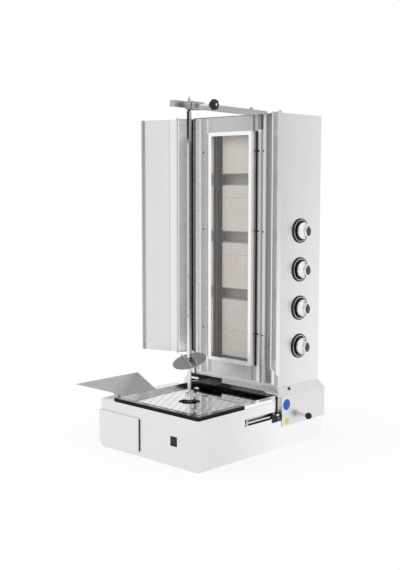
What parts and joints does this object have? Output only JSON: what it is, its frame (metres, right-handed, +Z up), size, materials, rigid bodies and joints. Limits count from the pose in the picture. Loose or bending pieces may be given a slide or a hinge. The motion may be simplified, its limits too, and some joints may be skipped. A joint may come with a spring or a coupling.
{
  "type": "gas doner kebab grill",
  "caption": "Upright gas doner grill: motor-driven skewer over a fat tray and drawer, sliding burner tower with side wings, gas knobs and a top arm.",
  "frame": {"origin": "centre of the base box on its underside", "axes": "+X to the right seen from the front, front towards -Y, +Z up"},
  "size_m": [0.7285, 0.7576, 1.2655],
  "materials": {
    "base_steel": "satin",
    "tray_steel": "polished",
    "plate_steel": "mirror polished",
    "inner_steel": "satin",
    "drawer_steel": "satin",
    "switch_plastic": "gloss",
    "motor_paint": "satin",
    "gland_plastic": "matt",
    "rod_steel": "polished",
    "clamp_steel": "satin",
    "stop_plastic": "matt",
    "catch_steel": "polished",
    "clip_steel": "satin",
    "socket_steel": "polished",
    "skewer_steel": "polished",
    "carriage_steel": "satin",
    "collar_steel": "polished",
    "tower_steel": "satin",
    "panel_steel": "polished",
    "screw_steel": "satin",
    "frame_steel": "polished",
    "guard_wire": "heat stained",
    "case_steel": "heat stained",
    "tile_ceramic": "matt ceramic",
    "gas_brass": "satin",
    "gas_pipe": "zinc plated",
    "gas_tube": "satin",
    "bezel_black": "matt",
    "knob_chrome": "polished",
    "hinge_steel": "satin",
    "wing_steel": "polished",
    "arm_steel": "satin",
    "star_plastic": "satin",
    "plunger_plastic": "gloss"
  },
  "bodies": {
    "base": {"base_shell": "base_steel", "base_bottom": "base_steel", "tray_pan": "tray_steel", "tray_plate": "plate_steel", "drawer_rails": "inner_steel", "rocker_bezel": "switch_plastic", "gear_motor": "motor_paint", "motor_bracket": "inner_steel", "cable_gland": "gland_plastic", "guide_rods": "rod_steel", "rod_clamps": "clamp_steel", "rod_stops": "stop_plastic", "catch_plate": "catch_steel", "catch_clips": "clip_steel"},
    "drawer": {"drawer_front": "drawer_steel", "drawer_box": "inner_steel"},
    "rocker": {"rocker_switch": "switch_plastic"},
    "skewer": {"drive_socket": "socket_steel", "skewer_bar": "skewer_steel", "skewer_disc": "skewer_steel"},
    "wing_bolt": {"wing_bolt": "socket_steel"},
    "carriage": {"carriage_cover": "carriage_steel", "plunger_collar": "collar_steel", "rod_bushings": "stop_plastic", "tower_side_right": "tower_steel", "tower_side_left": "tower_steel", "tower_back": "tower_steel", "tower_top": "tower_steel", "front_strip_right": "panel_steel", "front_strip_left": "panel_steel", "header_panel": "panel_steel", "footer_panel": "panel_steel", "tower_screws": "screw_steel", "burner_frame": "frame_steel", "burner_guard": "guard_wire", "burner_case": "case_steel", "burner_tile_1": "tile_ceramic", "burner_tile_2": "tile_ceramic", "burner_tile_3": "tile_ceramic", "burner_tile_4": "tile_ceramic", "burner_chambers": "case_steel", "gas_manifold": "gas_pipe", "gas_valves": "gas_brass", "gas_feeds": "gas_tube", "knob_bezels": "bezel_black", "hinge_wall_right": "panel_steel", "hinge_wall_left": "panel_steel", "hinge_brackets": "hinge_steel", "arm_mount": "arm_steel"},
    "lock_plunger": {"lock_plunger": "plunger_plastic"},
    "gas_knob_1": {"gas_knob_1": "knob_chrome"},
    "gas_knob_2": {"gas_knob_2": "knob_chrome"},
    "gas_knob_3": {"gas_knob_3": "knob_chrome"},
    "gas_knob_4": {"gas_knob_4": "knob_chrome"},
    "wing_right": {"wing_right": "wing_steel"},
    "wing_left": {"wing_left": "wing_steel"},
    "arm": {"arm_tube": "arm_steel"},
    "slider": {"arm_slider": "arm_steel"},
    "star_knob": {"star_knob": "star_plastic"}
  },
  "joints": [
    {"name": "drawer_slide", "type": "slide", "parent": "base", "child": "drawer", "axis": [0, -1, 0], "range_m": [0, 0.28]},
    {"name": "rocker_tip", "type": "hinge", "parent": "base", "child": "rocker", "pos_m": [0.1336, -0.3382, 0.0875], "axis": [1, 0, 0], "range_deg": [0, 12]},
    {"name": "skewer_spin", "type": "hinge", "parent": "base", "child": "skewer", "pos_m": [0.02, -0.15, 0.6], "axis": [0, 0, 1], "continuous": true},
    {"name": "wing_bolt_turn", "type": "hinge", "parent": "skewer", "child": "wing_bolt", "pos_m": [0.026, -0.15, 0.203], "axis": [1, 0, 0], "range_deg": [-180, 180]},
    {"name": "carriage_slide", "type": "slide", "parent": "base", "child": "carriage", "axis": [0, -1, 0], "range_m": [-0.045, 0.024]},
    {"name": "lock_pull", "type": "slide", "parent": "carriage", "child": "lock_plunger", "axis": [1, 0, 0], "range_m": [0, 0.008], "stiffness_N_per_m": 400, "springref_m": -0.004},
    {"name": "knob_turn_1", "type": "hinge", "parent": "carriage", "child": "gas_knob_1", "pos_m": [0.22, 0.231, 0.3565], "axis": [1, 0, 0], "range_deg": [-10, 180]},
    {"name": "knob_turn_2", "type": "hinge", "parent": "carriage", "child": "gas_knob_2", "pos_m": [0.22, 0.231, 0.5], "axis": [1, 0, 0], "range_deg": [-10, 180]},
    {"name": "knob_turn_3", "type": "hinge", "parent": "carriage", "child": "gas_knob_3", "pos_m": [0.22, 0.231, 0.6435], "axis": [1, 0, 0], "range_deg": [-10, 180]},
    {"name": "knob_turn_4", "type": "hinge", "parent": "carriage", "child": "gas_knob_4", "pos_m": [0.22, 0.231, 0.787], "axis": [1, 0, 0], "range_deg": [-10, 180]},
    {"name": "wing_right_swing", "type": "hinge", "parent": "carriage", "child": "wing_right", "pos_m": [0.239, 0.047, 0.753], "axis": [0, 0, -1], "range_deg": [-59, 62]},
    {"name": "wing_left_swing", "type": "hinge", "parent": "carriage", "child": "wing_left", "pos_m": [-0.239, 0.047, 0.753], "axis": [0, 0, 1], "range_deg": [-41, 80]},
    {"name": "arm_swing", "type": "hinge", "parent": "carriage", "child": "arm", "pos_m": [-0.019, 0.2274, 1.23], "axis": [0, 0, 1], "range_deg": [-1.02, 0.55]},
    {"name": "slider_slide", "type": "slide", "parent": "arm", "child": "slider", "axis": [-0.1576, 0.9875, 0], "range_m": [-0.0449, 0.02395]},
    {"name": "star_knob_turn", "type": "hinge", "parent": "slider", "child": "star_knob", "pos_m": [0.04008, -0.14273, 1.23], "axis": [0.9875, 0.1576, 0], "range_deg": [-180, 180]}
  ],
  "couplings": [
    {"joint": "arm_swing", "follows": "carriage_slide", "rad_per_m": 0.395},
    {"joint": "slider_slide", "follows": "carriage_slide", "ratio": 0.996}
  ]
}
